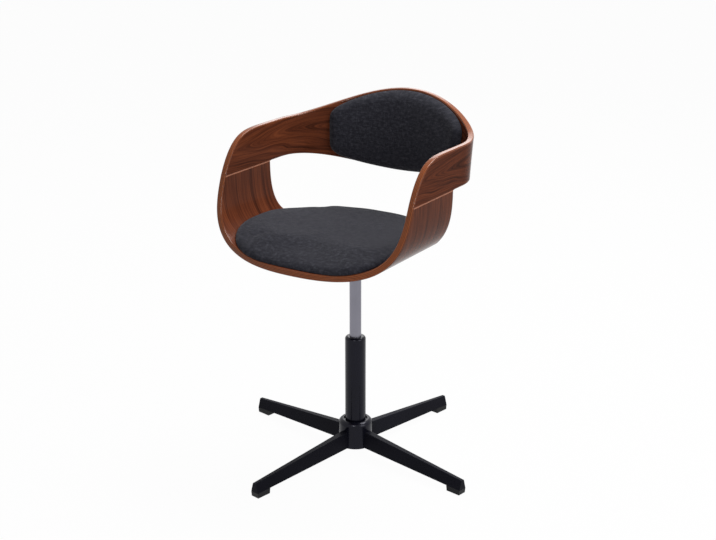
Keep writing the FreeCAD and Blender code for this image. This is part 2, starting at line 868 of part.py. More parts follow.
def back_pad_section(point):
    """The back pad's section across the band: a straight back, rolled edges and a crowned front."""
    low = back_pad_low(point)
    high = back_pad_high(point)
    end_gap = back_pad_half_length - abs(point[4])
    thickness = pad_roll(end_gap, back_pad_roll, back_pad_edge, back_pad_thickness)
    edge = back_pad_shoulder_share * thickness
    roll = min(back_pad_roll * thickness / back_pad_thickness, (high - low) / 4)

    def at(height, depth):
        return band_place(point, height, pad_inset + depth)

    def arc(*places):
        return Part.Arc(*[at(*place) for place in places]).toShape()

    middle = (low + high) / 2
    bulge = quarter_bulge * roll
    bulge_depth = edge - quarter_bulge * edge
    edges = [Part.makeLine(at(low, 0), at(high, 0)),
             arc((high, 0), (high - bulge, bulge_depth), (high - roll, edge)),
             arc((high - roll, edge), (middle, thickness), (low + roll, edge)),
             arc((low + roll, edge), (low + bulge, bulge_depth), (low, 0))]
    return Part.Wire(edges)


def back_board(near, far, margin):
    """A sheet on the band's inner face, a margin inside the back cushion's outline."""
    return band_sheet(back_pad_half_length - margin, near, far,
                      lambda point: back_pad_low(point) + margin,
                      lambda point: back_pad_high(point) - margin)


def back_pad():
    """The back cushion: crowned, rolled at its edges, and drawn back round its board to the band."""
    lengths = [back_pad_half_length * (2 * share - 1) for share in pad_stations]
    body = Part.makeLoft([back_pad_section(plan_at(length)) for length in lengths], True, False)
    return body.cut(back_board(ply_thickness, recess_inset, board_margin - pad_gap))


def back_pad_board():
    """The thin carrier board behind the back cushion, bent to the band's inner face."""
    return back_board(board_outer, board_inner, board_margin)


def all_parts():
    """Every piece of the chair by its node's name."""
    parts = {"base_hub": hub(), "stand_tube": stand_tube(), "guide_bush": guide_bush(),
             "lower_race": lower_race(), "upper_race": upper_race(), "bearing_balls": bearing_balls(),
             "bearing_cage": bearing_cage(), "piston_rod": piston_rod(), "rod_clip": rod_clip(),
             "rubber_bumper": bumper(), "piston": piston(), "piston_ring": piston_ring(),
             "rod_guide": rod_guide(), "rod_seal": rod_seal(), "pressure_tube": pressure_tube(),
             "valve_body": valve_body(), "valve_pin": valve_pin(), "plate_socket": socket(),
             "seat_plate": seat_plate(), "plate_bolts": plate_bolts(), "tee_nuts": tee_nuts(),
             "lever_rod": lever(), "lever_pin": lever_pin(), "lever_grip": lever_grip(),
             "seat_shell": seat_shell(), "back_band": back_band(), "seat_pad_board": seat_pad_board(),
             "seat_pad": seat_pad(), "back_pad_board": back_pad_board(), "back_pad": back_pad()}
    for index, name in enumerate(leg_names):
        turn = leg_turn + 360 * index / len(leg_names)
        parts["leg_" + name] = about_column(base_leg(), turn)
        parts["glide_" + name] = about_column(glide(), turn)
    return parts


os.makedirs("parts", exist_ok=True)
for node, shape in all_parts().items():
    shape.exportStep(os.path.join("parts", node + ".step"))
    state = "valid" if shape.isValid() else "NOT VALID"
    print(node, len(shape.Solids), "solids", round(shape.Volume / 1000, 2), "cm3", state)
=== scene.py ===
# %% [markdown]
# # A swivel dining chair
# The chair is a bent plywood tub on a gas spring column, with two upholstered pads. The construction
# model gives every piece its place and its size. This lesson dresses it: eased plywood with a veneer
# that follows the bend, pads sewn in woven cloth, coated steel, and a plain white studio.

import json
import math

import bpy
import numpy as np
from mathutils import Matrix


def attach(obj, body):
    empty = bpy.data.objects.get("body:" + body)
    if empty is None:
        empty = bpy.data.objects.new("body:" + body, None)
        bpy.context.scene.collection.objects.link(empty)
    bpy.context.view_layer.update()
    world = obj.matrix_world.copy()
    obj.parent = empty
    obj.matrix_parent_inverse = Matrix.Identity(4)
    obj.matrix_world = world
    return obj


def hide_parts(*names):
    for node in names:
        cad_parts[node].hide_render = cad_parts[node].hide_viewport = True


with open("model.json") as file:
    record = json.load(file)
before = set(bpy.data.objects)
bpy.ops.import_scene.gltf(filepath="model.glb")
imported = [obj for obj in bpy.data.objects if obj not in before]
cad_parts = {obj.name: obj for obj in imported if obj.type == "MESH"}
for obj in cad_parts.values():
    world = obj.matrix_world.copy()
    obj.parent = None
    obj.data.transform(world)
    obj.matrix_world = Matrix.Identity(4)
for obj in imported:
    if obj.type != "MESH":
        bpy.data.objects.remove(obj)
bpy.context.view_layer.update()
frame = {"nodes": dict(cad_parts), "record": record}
nodes = frame["nodes"]
scene = bpy.context.scene
scene.view_settings.view_transform = "Standard"

# %% [markdown]
# ## The camera
# The picture was taken from the chair's front right, a little above it, with a long lens. A camera
# can be placed by eye, but here its place was worked out from the chair's own outline, so the two
# pictures can be laid over each other. The angles are turns about the upright axis and down.

# %% Place the camera
camera_turn = math.radians(32.446)
camera_distance = 3.04927
camera_height = 1.50441
look_turn = math.radians(32.33)
look_down = math.radians(18.787)
sensor_width, lens = 36.0, 68.75

camera_data = bpy.data.cameras.new("studio_camera")
camera_data.sensor_width = sensor_width
camera_data.lens = lens
camera = bpy.data.objects.new("studio_camera", camera_data)
camera.location = (camera_distance * math.sin(camera_turn),
                   -camera_distance * math.cos(camera_turn), camera_height)
camera.rotation_euler = (math.pi / 2 - look_down, 0.0, look_turn)
scene.collection.objects.link(camera)
scene.camera = camera
print("camera at", [round(value, 3) for value in camera.location])

# %% [markdown]
# ## Small helpers for materials
# A finish is a graph of nodes. Writing each link by hand is long, so a small class keeps it short: it
# adds nodes with their settings, does arithmetic on sockets, and maps values to colours. The studio's
# own graph uses it too; a finish is such a graph in a material.


# %% Helpers for node graphs
class Graph:
    """A graph of shader nodes, with short ways to add nodes and links to it."""

    def __init__(self, tree):
        self.tree = tree

    def put(self, socket, value):
        """Set a socket to a constant, or link it to another node's output."""
        if isinstance(value, bpy.types.NodeSocket):
            self.tree.links.new(value, socket)
        else:
            socket.default_value = value

    def node(self, kind, inputs=(), **settings):
        """Add a node, set its own settings, and fill its inputs by name or number."""
        made = self.tree.nodes.new(kind)
        for key, value in settings.items():
            setattr(made, key, value)
        for key, value in dict(inputs).items():
            self.put(made.inputs[key], value)
        return made

    def calc(self, operation, *values):
        """One arithmetic step on numbers or sockets."""
        return self.node("ShaderNodeMath", enumerate(values), operation=operation).outputs[0]

    def plus(self, first, *others):
        """The sum of two or more values."""
        for other in others:
            first = self.calc("ADD", first, other)
        return first

    def minus(self, first, second):
        """The difference of two values."""
        return self.calc("SUBTRACT", first, second)

    def times(self, first, second):
        """The product of two values."""
        return self.calc("MULTIPLY", first, second)

    def divided(self, first, second):
        """The quotient of two values."""
        return self.calc("DIVIDE", first, second)

    def noise(self, place, scale, detail=2.0, roughness=0.5):
        """Soft random values from 0 to 1 at a place."""
        made = self.node("ShaderNodeTexNoise", {"Vector": place, "Scale": scale, "Detail": detail,
                                                "Roughness": roughness})
        return made.outputs["Fac"]

    def vector(self, x, y, z=0.0):
        """A place put together from its parts."""
        return self.node("ShaderNodeCombineXYZ", {0: x, 1: y, 2: z}).outputs[0]

    def parts(self, place):
        """The three parts of a place."""
        return self.node("ShaderNodeSeparateXYZ", {0: place}).outputs

    def ramp(self, value, stops):
        """Colours along a value: stops are (position, (red, green, blue))."""
        made = self.node("ShaderNodeValToRGB", {"Fac": value})
        elements = made.color_ramp.elements
        while len(elements) < len(stops):
            elements.new(0.5)
        for element, (position, colour) in zip(elements, stops):
            element.position = position
            element.color = (*colour, 1.0)
        return made.outputs["Color"]

    def mix(self, share, first, second, blend="MIX"):
        """Two colours mixed by a share."""
        made = self.node("ShaderNodeMix", data_type="RGBA", blend_type=blend)
        self.put(made.inputs[0], share)
        self.put(made.inputs[6], first)
        self.put(made.inputs[7], second)
        return made.outputs[2]

    def spread(self, value, low, high, to_low=0.0, to_high=1.0):
        """A value carried from one range to another, held at its ends."""
        made = self.node("ShaderNodeMapRange", {"Value": value, "From Min": low, "From Max": high,
                                                "To Min": to_low, "To Max": to_high})
        return made.outputs[0]

    def bump(self, height, distance, strength):
        """A normal bent by a height; the distance in metres is how far a height of one stands out."""
        made = self.node("ShaderNodeBump", {"Height": height, "Distance": distance, "Strength": strength})
        return made.outputs["Normal"]


class Finish(Graph):
    """One material: a graph that ends in the usual shader."""

    def __init__(self, name):
        self.material = bpy.data.materials.new(name)
        self.material.use_nodes = True
        super().__init__(self.material.node_tree)
        self.shader = self.tree.nodes["Principled BSDF"]

    def own_map(self, name):
        """The two parts of a place on the piece's own map, in metres."""
        return self.parts(self.node("ShaderNodeUVMap", uv_map=name).outputs[0])[:2]

    def place(self):
        """A place on the piece, in metres."""
        return self.node("ShaderNodeTexCoord").outputs["Object"]

    def between(self, noise, low, high):
        """A noise's usual range, from 0.3 to 0.7, carried to another range."""
        return self.spread(noise, 0.3, 0.7, low, high)

    def shades(self, noise, dark, light):
        """Two colours over a noise's usual range."""
        return self.ramp(noise, [(0.3, dark), (0.7, light)])

    def coat(self, **values):
        """Set the shader's own sockets; underscores in the names stand for spaces."""
        for key, value in values.items():
            self.put(self.shader.inputs[key.replace("_", " ")], value)


def srgb(red, green, blue):
    """A colour as it is seen on a screen (0 to 255), as light for the shader."""
    levels = np.array([red, green, blue]) / 255.0
    light = np.where(levels <= 0.04045, levels / 12.92, ((levels + 0.055) / 1.055) ** 2.4)
    return tuple(float(value) for value in light)


def rgba(colour):
    """A colour with its fourth number."""
    return (*colour, 1.0)


# %% [markdown]
# ## Helpers for surfaces
# Bent plywood is a sheet of even thickness, so each piece is one closed loop, the section across the
# sheet, carried along a path. All points are worked out as one array of rows and columns. A loop's
# columns are marked as face or edge, because the veneer lies on the faces and the layers show at the
# edges.


# %% Helpers for surfaces
def rolled(distance, roll):
    """A rounded edge, as a share of its height: the square root of 1 - (1 - distance/roll) squared."""
    return np.sqrt(1 - (1 - np.clip(distance / roll, 0, 1)) ** 2)


def loop_section(face_steps=26, corner_steps=5, edge_steps=4):
    """The section of a sheet as unit values, going round once.

    Each point is a row of (share, inset_along, depth, inset_through, is_edge). Along the sheet it lies at
    low + share*(high - low) + inset_along*radius, and through it at depth*thickness + inset_through*radius.
    """
    quarter = np.linspace(0.0, np.pi / 2, corner_steps + 1)[:-1]
    face = np.linspace(0.0, 1.0, face_steps + 1)[:-1]
    edge = np.linspace(0.0, 1.0, edge_steps + 1)[:-1]
    zero, one = np.zeros_like, np.ones_like

    def rows(share, inset_along, depth, inset_through, is_edge):
        return np.stack([share, inset_along, depth, inset_through, np.full_like(share, is_edge)], axis=1)

    return np.concatenate([
        rows(face, 1 - 2 * face, zero(face), zero(face), 0.0),
        rows(one(quarter), np.sin(quarter) - 1, zero(quarter), 1 - np.cos(quarter), 1.0),
        rows(one(edge), zero(edge), edge, 1 - 2 * edge, 1.0),
        rows(one(quarter), np.cos(quarter) - 1, one(quarter), np.sin(quarter) - 1, 1.0),
        rows(1 - face, 2 * face - 1, one(face), zero(face), 0.0),
        rows(zero(quarter), 1 - np.sin(quarter), one(quarter), np.cos(quarter) - 1, 1.0),
        rows(zero(edge), zero(edge), 1 - edge, 2 * edge - 1, 1.0),
        rows(zero(quarter), 1 - np.cos(quarter), zero(quarter), 1 - np.sin(quarter), 1.0)])


def loop_mesh(name, points, face_uv, edge_uv, is_edge, finishes):
    """A closed mesh from loops of points (rows along a path, columns round the loop), capped at its ends.

    A column marked as edge takes the second finish and the edge's map, the others the first.
    """
    rows, columns = points.shape[:2]
    row, column = np.meshgrid(np.arange(rows - 1), np.arange(columns), indexing="ij")
    after = (column + 1) % columns
    corners = np.stack([row * columns + column, row * columns + after,
                        (row + 1) * columns + after, (row + 1) * columns + column], axis=-1).reshape(-1, 4)
    caps = np.stack([np.arange(columns)[::-1], (rows - 1) * columns + np.arange(columns)])
    mesh = bpy.data.meshes.new(name)
    mesh.from_pydata(points.reshape(-1, 3).tolist(), [], corners.tolist() + caps.tolist())
    quad_is_edge = np.tile(is_edge > 0.5, rows - 1)
    quad_uv = np.where(quad_is_edge[:, None, None], edge_uv.reshape(-1, 2)[corners],
                       face_uv.reshape(-1, 2)[corners])
    cap_uv = edge_uv.reshape(-1, 2)[caps.reshape(-1)]
    layer = mesh.uv_layers.new(name="grain")
    layer.data.foreach_set("uv", np.concatenate([quad_uv.reshape(-1, 2), cap_uv]).astype(np.float32).ravel())
    for finish in finishes:
        mesh.materials.append(finish)
    slots = np.concatenate([quad_is_edge.astype(np.int32), np.ones(2, np.int32)])
    mesh.polygons.foreach_set("material_index", slots)
    smooth = np.concatenate([np.ones(len(corners), bool), np.zeros(2, bool)])
    mesh.polygons.foreach_set("use_smooth", smooth)
    mesh.update()
    made = bpy.data.objects.new(name, mesh)
    scene.collection.objects.link(made)
    print(name, "points:", rows * columns, "faces:", len(mesh.polygons))
    return made


# %% [markdown]
# ## The plywood's curves
# The seat's section is a superellipse: nearly flat below the sitter and nearly upright at the sides.
# The back band's plan is straight along the arms and half an ellipse round the back. Both are walked
# by length, because the veneer and the edges follow the length and not the angle. The sizes are those
# of the construction model, in metres; the easings are added here, and the arms run out to thinner tips.

# %% The plywood's sizes and curves
ply_thickness = 0.0145
half_width = 0.256
seat_bottom = 0.528
seam_height = 0.699
side_top = 0.719
roundness = 3.34
seat_front, front_sweep, front_bow = 0.265, 0.475, 0.254
seat_rear, rear_bow, side_rear = 0.155, 0.010, 0.002
rear_turn_at, rear_turn_width = 0.186, 0.030
arm_top, arm_roll, tip_land = 0.792, 4.23, 0.0004
crest_rise, crest_reach = 0.065, 0.300
band_drop, drop_reach = 0.032, 0.316
back_start, back_depth, back_lean = 0.048, 0.172, 0.265
edge_round = 0.0030
seam_round = 0.0006
seam_line = 0.0015


def walked(curve, end, count=4001):
    """Even steps of a curve's parameter, and the length walked up to each."""
    turn = np.linspace(0.0, end, count)
    points = curve(turn)
    length = np.concatenate([[0.0], np.cumsum(np.linalg.norm(np.diff(points, axis=0), axis=1))])
    return turn, length


def section_point(turn):
    """The seat's outer section (x, z): sin and cos of the turn, each to the power 2/roundness."""
    power = 2.0 / roundness
    return np.stack([half_width * np.sin(turn) ** power,
                     side_top - (side_top - seat_bottom) * np.cos(turn) ** power], axis=-1)


def section_normal(turn):
    """The direction out of the seat's section (x, z): sin and cos to 2 - 2/roundness, over the half sizes."""
    power = 2.0 - 2.0 / roundness
    normal = np.stack([np.sin(turn) ** power / half_width,
                       -np.cos(turn) ** power / (side_top - seat_bottom)], axis=-1)
    return normal / np.linalg.norm(normal, axis=-1, keepdims=True)


def plan_point(turn):
    """The band's outer plan (x, y) round the back: a quarter of an ellipse from its middle."""
    return np.stack([half_width * np.sin(turn), back_start + back_depth * np.cos(turn)], axis=-1)


seam_turn = math.acos(((side_top - seam_height) / (side_top - seat_bottom)) ** (roundness / 2))
section_turns, section_lengths = walked(section_point, seam_turn)
plan_turns, plan_lengths = walked(plan_point, math.pi / 2)
section_end = section_lengths[-1]
plan_end = plan_lengths[-1]


def front_edge(length):
    """The seat's front edge (y): a bow that straightens as it climbs the sides."""
    return -seat_front + front_sweep * (np.hypot(length, front_bow) - front_bow)


def rear_edge(length):
    """The seat's rear edge (y): far back under the sitter, stepping forward up the sides."""
    step = 0.5 * (1 - np.tanh((np.abs(length) - rear_turn_at) / rear_turn_width))
    return side_rear + (seat_rear - side_rear - rear_bow * (length / rear_turn_at) ** 2) * step


arm_tip = front_edge(section_end)
band_front = arm_tip * (1 - tip_land / (arm_top - seam_height)) ** (1 / arm_roll)
band_reach = plan_end + back_start - band_front
seam_from = plan_end + back_start - side_rear
print("seat half section:", round(section_end, 4), "band half plan:", round(band_reach, 4))


# %% [markdown]
# ## Finish: veneer
# The veneer is a dark, reddish, open-grained wood under satin lacquer. On the band it is cut flat, so
# its year rings run out in long pointed arches; on the seat it is cut straight and runs round the bend
# as stripes. Both come from one idea: a log is a stack of cones, and a cut through it shows where the
# cut crosses each ring. The ring is a distance from the log's heart, bent by soft noise. A repeating
# wave over the rings would look printed, because years differ, so the rings' tone is noise as well, at
# three widths: broad streaks, years, and fibres.


# %% Veneer finish
wood_colours = [(0.10, srgb(109, 58, 36)), (0.36, srgb(84, 43, 28)), (0.60, srgb(59, 30, 20)),
                (0.92, srgb(34, 17, 12))]
seam_colour, seam_share = srgb(176, 122, 98), 0.85
heart_height, heart_along, heart_blunt = 0.752, 0.03, 0.00006
log_taper = 0.11
broad_width, fibre_width = 0.014, 0.0016
broad_share, fibre_share, pore_share = 0.19, 0.40, 0.06


def veneer(name, arched, lacquer):
    """A lacquered veneer. The map's first part runs along the grain and the second across it.

    The ring is a distance from the log's heart where the cut is arched, and the place across the grain
    where it is straight. Lacquer is a refractive index: the higher, the more sheen.
    """
    f = Finish(name)
    along, across = f.own_map("grain")
    slow = f.vector(f.times(along, 2.2), f.times(across, 9.0))
    wander = f.minus(f.noise(slow, 1.0, 3.0, 0.55), 0.5)
    far_along = f.calc("ABSOLUTE", along)
    if arched:
        year_width, year_share = 0.0050, 0.30
        off = f.minus(across, f.plus(heart_height, f.times(wander, 0.05)))
        heart = f.calc("SQRT", f.plus(f.times(off, off), heart_blunt))
        leaning = f.times(f.calc("ABSOLUTE", f.minus(along, heart_along)), log_taper)
        ring = f.plus(heart, leaning, f.times(wander, 0.016))
        on_seam = f.times(f.calc("LESS_THAN", across, seam_height + seam_line),
                          f.calc("GREATER_THAN", far_along, seam_from))
    else:
        year_width, year_share = 0.0044, 0.26
        ring = f.plus(across, f.times(wander, 0.026))
        on_seam = f.calc("GREATER_THAN", far_along, section_end - seam_line)

    def streaks(width, draw, layer):
        """Noise over the rings, drawn out along the grain: width in metres, draw in turns a metre."""
        return f.noise(f.vector(f.divided(ring, width), f.times(along, draw), layer), 1.0, 2.0, 0.55)

    broad = f.spread(streaks(broad_width, 1.3, 1.0), 0.32, 0.70)
    year = f.spread(streaks(year_width, 1.8, 4.0), 0.34, 0.70)
    fibre = f.spread(streaks(fibre_width, 9.0, 7.0), 0.30, 0.72)
    pores = f.noise(f.vector(f.times(along, 60.0), f.times(across, 1500.0)), 1.0, 2.0, 0.6)
    pore_mark = f.spread(pores, 0.56, 0.72)
    late_wood = f.times(year, year)
    tone = f.plus(f.times(late_wood, year_share), f.times(broad, broad_share), f.times(fibre, fibre_share),
                  f.times(pore_mark, pore_share))
    colour = f.mix(f.times(on_seam, seam_share), f.ramp(tone, wood_colours), rgba(seam_colour))
    f.coat(Base_Color=colour, Roughness=f.spread(pore_mark, 0.0, 1.0, 0.42, 0.54), Specular_IOR_Level=0.0,
           Coat_Weight=1.0, Coat_Roughness=0.18, Coat_IOR=lacquer,
           Normal=f.bump(f.plus(pore_mark, f.times(late_wood, 0.6)), 0.00012, 0.25))
    return f.material


seat_veneer = veneer("straight_veneer", arched=False, lacquer=1.12)
band_veneer = veneer("arched_veneer", arched=True, lacquer=1.07)


# %% [markdown]
# ## Finish: plywood edge
# At a cut edge the sheet shows its layers. Every other layer is cut across its grain and looks darker. The
# edge could be cut from stripes of geometry, but the layers are thin and flush, so a wave over the depth is
# enough. The edge is lacquered too, so its rim catches the light.


# %% Plywood edge finish
edge_colours = [(0.15, srgb(158, 86, 43)), (0.5, srgb(119, 61, 30)), (0.9, srgb(74, 37, 18))]


def ply_edge(name, plies=9):
    """The sheet's bare edge: thin layers, every other one cut across its grain and so darker."""
    f = Finish(name)
    along, depth = f.own_map("grain")
    waver = f.minus(f.noise(f.vector(f.times(along, 12.0), 0.0), 1.0, 2.0), 0.5)
    layer = f.plus(f.divided(depth, ply_thickness / plies), f.times(waver, 0.35))
    dark = f.spread(f.calc("SINE", f.times(layer, math.pi)), -0.45, 0.45)
    fleck = f.noise(f.vector(f.times(along, 240.0), f.times(depth, 2600.0)), 1.0, 3.0, 0.6)
    tone = f.plus(f.times(dark, 0.45), f.times(fleck, 0.55))
    f.coat(Base_Color=f.ramp(tone, edge_colours), Roughness=f.between(fleck, 0.38, 0.5),
           Specular_IOR_Level=0.0, Coat_Weight=1.0, Coat_Roughness=0.14, Coat_IOR=1.27,
           Normal=f.bump(dark, 0.0001, 0.2))
    return f.material


edge_finish = ply_edge("plywood_edge")
print("wood finishes:", seat_veneer.name, band_veneer.name, edge_finish.name)

# %% [markdown]
# ## The bent seat
# The seat is one sheet, pressed into a U. Its section runs across the chair, and at each step the loop
# goes round the sheet from the front edge to the rear edge and back. The corners are eased by a few
# millimetres, as a router leaves them before lacquer. Where an edge runs at a slant, the easing is
# drawn out along the loop so that it keeps its radius across the edge.


# %% Bent seat
upright_zone = 0.010
longest_round = 0.012


def slope_of(values, lengths):
    """How far a radius is drawn out along an edge of that slope."""
    return np.hypot(1.0, np.gradient(values, lengths))


def bent_seat(steps=220):
    """The seat's sheet: place = section(length) - depth*normal(length), with y between its two edges.

    Near the seam the normal is turned level, so that the seat's end lies flush under the band.
    """
    length = np.linspace(-section_end, section_end, 2 * steps + 1)
    to_end = section_end - np.abs(length)
    turn = np.interp(np.abs(length), section_lengths, section_turns)
    x, z = section_point(turn).T
    upright = np.clip(1 - to_end / upright_zone, 0, 1)[:, None]
    normal = section_normal(turn) * (1 - upright) + np.array([[1.0, 0.0]]) * upright
    normal /= np.linalg.norm(normal, axis=1, keepdims=True)
    side = np.sign(length)
    share, inset_along, depth, inset_through, is_edge = loop_section().T
    front, rear = front_edge(length), rear_edge(length)
    front_radius = edge_round * slope_of(front, length)
    rear_radius = np.minimum(edge_round * slope_of(rear, length), longest_round)
    radius = np.where(share[None, :] < 0.5, front_radius[:, None], rear_radius[:, None])
    y = front[:, None] + share * (rear - front)[:, None] + inset_along * radius
    squeeze = seam_round * (1 - rolled(to_end, seam_round))
    through = depth * ply_thickness + inset_through * edge_round
    through = np.clip(through, squeeze[:, None], ply_thickness - squeeze[:, None])
    place = np.stack([side[:, None] * (x[:, None] - normal[:, :1] * through), y,
                      z[:, None] - normal[:, 1:] * through], axis=-1)
    walk = np.broadcast_to(length[:, None], y.shape)
    return loop_mesh("bent_seat", place[:, ::-1], np.stack([walk, y], axis=-1)[:, ::-1],
                     np.stack([walk, through], axis=-1)[:, ::-1], np.roll(is_edge[::-1], -1),
                     [seat_veneer, edge_finish])


seat_piece = bent_seat()
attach(seat_piece, "seat")
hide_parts("seat_shell")

# %% [markdown]
# ## The back band
# The band is a second sheet, bent round in plan. Its lower edge is glued on the seat's sides along a
# straight seam, and its upper edge rolls down at the arms and rises to a crest behind the sitter. It
# leans back more the more it faces backwards. The steps are spaced by the length of the upper edge,
# so that the steep roll at the arms gets as many points as it needs.


# %% Back band
seam_fade = 0.004
high_round_share, low_round_share = 0.75, 0.2


def band_plan(length):
    """Places and outward directions of the band's plan at signed lengths from its middle."""
    reach = np.abs(length)
    turn = np.interp(reach, plan_lengths, plan_turns)
    round_place = plan_point(turn)
    straight = reach > plan_end
    x = np.where(straight, half_width, round_place[:, 0])
    y = np.where(straight, back_start - (reach - plan_end), round_place[:, 1])
    normal = np.stack([np.sin(turn) / half_width, np.cos(turn) / back_depth], axis=1)
    normal /= np.linalg.norm(normal, axis=1, keepdims=True)
    side = np.where(length < 0, -1.0, 1.0)
    return side * x, y, side * normal[:, 0], normal[:, 1]


def raised(length, reach):
    """A raised cosine: one at the middle of the back, nothing from the reach on."""
    return 0.5 * (1 + np.cos(np.pi * np.minimum(np.abs(length) / reach, 1.0)))


def band_edges(length, y):
    """The band's lower and upper edge (z)."""
    low = seam_height - band_drop * raised(length, drop_reach)
    roll = (arm_top - seam_height) * np.maximum(y / arm_tip, 0.0) ** arm_roll
    return low, arm_top - roll + crest_rise * raised(length, crest_reach)


def band_place(length, height, depth):
    """A point of the band: its plan, moved out by the lean and in by the depth."""
    x, y, across, back = band_plan(length)
    shift = back_lean * back[:, None] ** 2 * (height - seam_height) - depth
    return np.stack([x[:, None] + across[:, None] * shift, y[:, None] + back[:, None] * shift, height],
                    axis=-1)


def band_steps(count):
    """Signed lengths at even steps along the band's upper edge."""
    fine = np.linspace(-band_reach, band_reach, 8001)
    high = band_edges(fine, band_plan(fine)[1])[1]
    walk = np.concatenate([[0.0], np.cumsum(np.hypot(np.diff(fine), np.diff(high)))])
    return np.interp(np.linspace(0.0, walk[-1], count), walk, fine)


def back_band(count=460):
    """The band's sheet: the loop runs up its outer face and down its inner face at each step.

    At the arms' tips the sheet is lower than its easing is long, so the squeeze cuts the easing off there
    at the seam, where the seat's own eased edge goes on.
    """
    length = band_steps(count)
    y = band_plan(length)[1]
    low, high = band_edges(length, y)
    share, inset_along, depth, inset_through, is_edge = loop_section().T
    on_seam = np.clip((side_rear + seam_fade - y) / seam_fade, 0, 1)
    low_round = edge_round + (seam_round - edge_round) * on_seam
    low_round = np.minimum(low_round, low_round_share * (high - low))
    drawn_round = edge_round * slope_of(high, length)
    high_round = np.minimum(drawn_round, high_round_share * (high - low))
    at_top = share[None, :] > 0.5
    along = inset_along * np.where(at_top, high_round[:, None], low_round[:, None])
    through_round = np.where(at_top, edge_round, low_round[:, None])
    height = low[:, None] + share * (high - low)[:, None] + along
    through = depth * ply_thickness + inset_through * through_round
    squeeze = edge_round * (1 - rolled(high[:, None] - height, drawn_round[:, None]))
    through = np.clip(through, squeeze, ply_thickness - squeeze)
    place = band_place(length, height, through)
    walk = np.broadcast_to(length[:, None], height.shape)
    return loop_mesh("back_band_ply", place, np.stack([walk, height], axis=-1),
                     np.stack([walk, through], axis=-1), is_edge, [band_veneer, edge_finish])


band_piece = back_band()
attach(band_piece, "seat")
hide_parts("back_band")

# %% [markdown]
# ## The cloth
# The pads are covered in a charcoal cloth, woven from yarns that are themselves spun from darker and
# lighter fibres. A weave is two rows of threads that go over and under each other, so the finish adds
# two rows of round threads and lets a chequer decide which is on top. Each thread has its own grey.


# %% Cloth finish
cloth_colours = [(0.30, srgb(27, 27, 34)), (0.50, srgb(45, 45, 52)), (0.72, srgb(79, 79, 87))]


def woven_cloth(name, thread=0.0011):
    """A plain weave on the piece's own map: threads both ways, flecked with grey, with painted shade where
    the threads dip.
    """
    f = Finish(name)
    across, along = f.own_map("weave")
    u, v = f.divided(across, thread), f.divided(along, thread)
    row_u, row_v = f.calc("FLOOR", u), f.calc("FLOOR", v)
    over = f.calc("ABSOLUTE", f.calc("MODULO", f.plus(row_u, row_v), 2.0))
    under = f.minus(1.0, over)

    def hump(place):
        """A thread's round back, over its own width."""
        return f.calc("ABSOLUTE", f.calc("SINE", f.times(place, math.pi)))

    def woven(warp, weft):
        """The warp's value where the warp is on top, and the weft's elsewhere."""
        return f.plus(f.times(over, warp), f.times(under, weft))

    height = woven(hump(u), hump(v))
    grey = woven(f.noise(f.vector(row_u, f.times(v, 0.07)), 0.9, 2.0, 0.7),
                 f.noise(f.vector(f.times(u, 0.07), row_v, 7.0), 0.9, 2.0, 0.7))
    patch = f.noise(f.vector(f.times(u, 0.10), f.times(v, 0.17), 3.0), 1.0, 3.0, 0.6)
    tone = f.plus(f.times(grey, 0.6), f.times(patch, 0.4))
    # Painted shade: the colour is made darker where each thread dips under the next, as if shade lay between
    # the threads.
    shade = f.spread(height, 0.0, 1.0, 0.62, 1.0)
    painted_thread_shade = f.node("ShaderNodeCombineColor", {0: shade, 1: shade, 2: shade}).outputs[0]
    colour_with_painted_shade = f.mix(1.0, f.ramp(tone, cloth_colours), painted_thread_shade, "MULTIPLY")
    f.coat(Base_Color=colour_with_painted_shade, Roughness=f.spread(grey, 0.2, 0.8, 0.82, 0.96), Specular_IOR_Level=0.05,
           Sheen_Weight=0.10, Sheen_Roughness=0.4, Normal=f.bump(height, 0.0004, 0.6))
    return f.material


cloth = woven_cloth("charcoal_cloth")
print("cloth finish:", cloth.name)

# %% [markdown]
# ## The pads
# A pad is foam on a thin board, wrapped in cloth that is pulled tight over it and drawn round the
# board's edge. It could be drawn by hand, but cloth that is blown up from inside finds the same tight,
# rounded skin by itself. So each pad starts as a net of even squares, a little thinner than the pad: an
# upper skin and an under skin that share their rim. The under skin is pinned, and a short simulation
# with air pressure pulls the upper one tight. How far a point may move is capped, and the moves are
# evened out over their neighbours, because a tight cover has no creases.


# %% The pads' net
pad_gap = 0.0008
board_inner = 0.0186
board_from, board_slope = 0.008, 0.005
tiny = 1e-9


def pad_net(columns, rows, front_power, rear_power, rim_rings=7, rim_share=0.11):
    """A square net drawn onto a superellipse, in shares of its half sizes.

    Each square ring of the net becomes one outline: its points are divided by
    (|a|^power + |b|^power)^(1/power), with one power before the middle and one behind it. The last
    rings are spaced as the sines of even angles, so that a rolled edge gets even steps.
    Returns the outline point of each net point (two arrays) and its ring, from 0 to 1 at the rim.
    """
    a, b = np.meshgrid(np.linspace(-1, 1, columns + 1), np.linspace(-1, 1, rows + 1), indexing="ij")
    step = np.maximum(np.abs(a), np.abs(b))
    safe_step = np.maximum(step, tiny)
    a, b = np.where(step < tiny, 1.0, a / safe_step), b / safe_step
    power = np.where(b < 0, front_power, rear_power)
    size = (np.abs(a) ** power + np.abs(b) ** power) ** (1 / power)
    inner = 1 - 2 * rim_rings / min(columns, rows)
    angle = np.clip((step - inner) / (1 - inner), 0, 1) * np.pi / 2
    ring = np.where(step < inner, step / inner * (1 - rim_share), 1 - rim_share * (1 - np.sin(angle)))
    return a / size, b / size, ring


def under_depth(distance):
    """How far in from the plywood's outer face a pad's under skin lies.

    It is on the sheet at the rim and on the board within.
    """
    on_board = np.clip((distance - board_from) / board_slope, 0, 1)
    return ply_thickness + pad_gap + (board_inner - ply_thickness) * on_board


